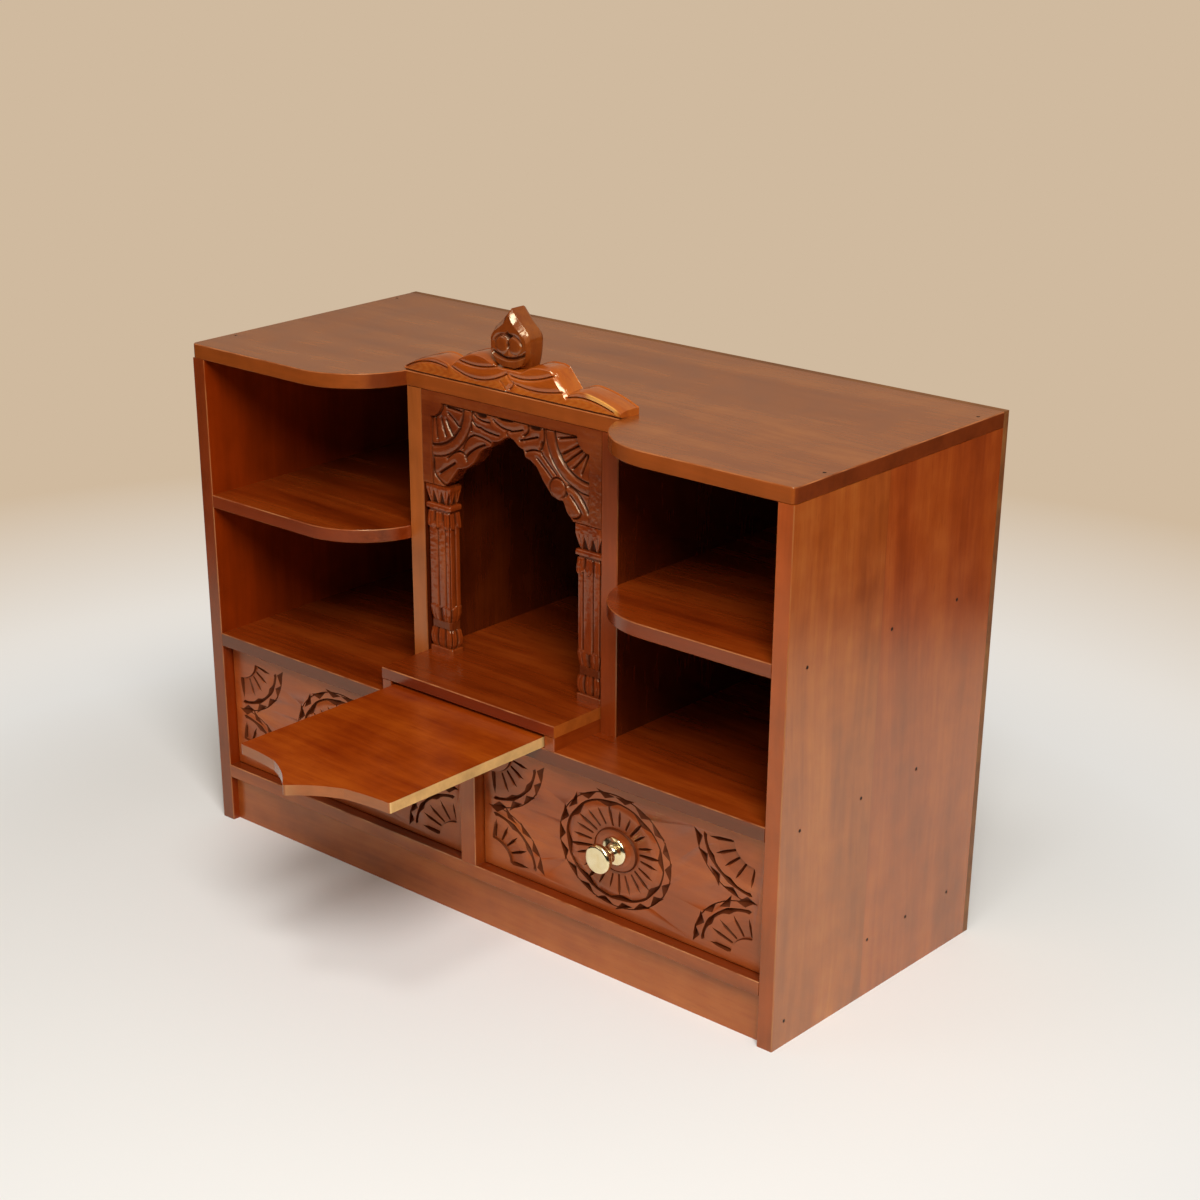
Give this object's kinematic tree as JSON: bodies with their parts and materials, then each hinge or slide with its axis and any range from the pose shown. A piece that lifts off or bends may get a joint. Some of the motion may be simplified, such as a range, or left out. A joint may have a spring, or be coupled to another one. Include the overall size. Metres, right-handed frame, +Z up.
{
  "type": "home shrine",
  "caption": "Wooden tabletop home shrine: an arched niche with carved columns between open shelves, a tray that slides out under the niche and drawers below.",
  "frame": {"origin": "middle of the plinth's underside, on the surface that the cabinet stands on", "axes": "+X to the viewer's right along the front, +Y from the front to the back, +Z up"},
  "size_m": [0.575, 0.4195, 0.4595],
  "materials": {
    "stained_wood": "red-brown stain, satin varnish",
    "carved_wood": "hand carved, red-brown stain, varnish",
    "tray_wood": "varnished faces, paler edges",
    "drawer_wood": "plain planed wood",
    "plywood": "thin plywood, lightly stained",
    "brass": "polished and lacquered",
    "steel": "dull drawn steel"
  },
  "bodies": {
    "cabinet": {"plinth_board": "stained_wood", "bottom_board": "stained_wood", "drawer_divider": "stained_wood", "counter_board": "stained_wood", "niche_platform": "stained_wood", "top_panel": "stained_wood", "left_side_panel": "stained_wood", "right_side_panel": "stained_wood", "left_niche_wall": "stained_wood", "right_niche_wall": "stained_wood", "left_shelf": "stained_wood", "right_shelf": "stained_wood", "left_tray_runner": "stained_wood", "right_tray_runner": "stained_wood", "arch_panel": "carved_wood", "left_column": "carved_wood", "right_column": "carved_wood", "crest": "carved_wood", "finial": "carved_wood", "back_panel": "plywood", "side_nails": "steel", "top_nails": "steel", "back_pins": "steel"},
    "tray": {"tray": "tray_wood"},
    "left_drawer": {"left_drawer_front": "carved_wood", "left_drawer_left_wall": "drawer_wood", "left_drawer_right_wall": "drawer_wood", "left_drawer_back": "drawer_wood", "left_drawer_bottom": "plywood", "left_knob": "brass", "left_knob_screw": "steel"},
    "right_drawer": {"right_drawer_front": "carved_wood", "right_drawer_left_wall": "drawer_wood", "right_drawer_right_wall": "drawer_wood", "right_drawer_back": "drawer_wood", "right_drawer_bottom": "plywood", "right_knob": "brass", "right_knob_screw": "steel"}
  },
  "joints": [
    {"name": "tray_slide", "type": "slide", "parent": "cabinet", "child": "tray", "axis": [0, -1, 0], "range_m": [-0.15, 0.02]},
    {"name": "left_drawer_slide", "type": "slide", "parent": "cabinet", "child": "left_drawer", "axis": [0, -1, 0], "range_m": [0, 0.17]},
    {"name": "right_drawer_slide", "type": "slide", "parent": "cabinet", "child": "right_drawer", "axis": [0, -1, 0], "range_m": [0, 0.17]}
  ]
}
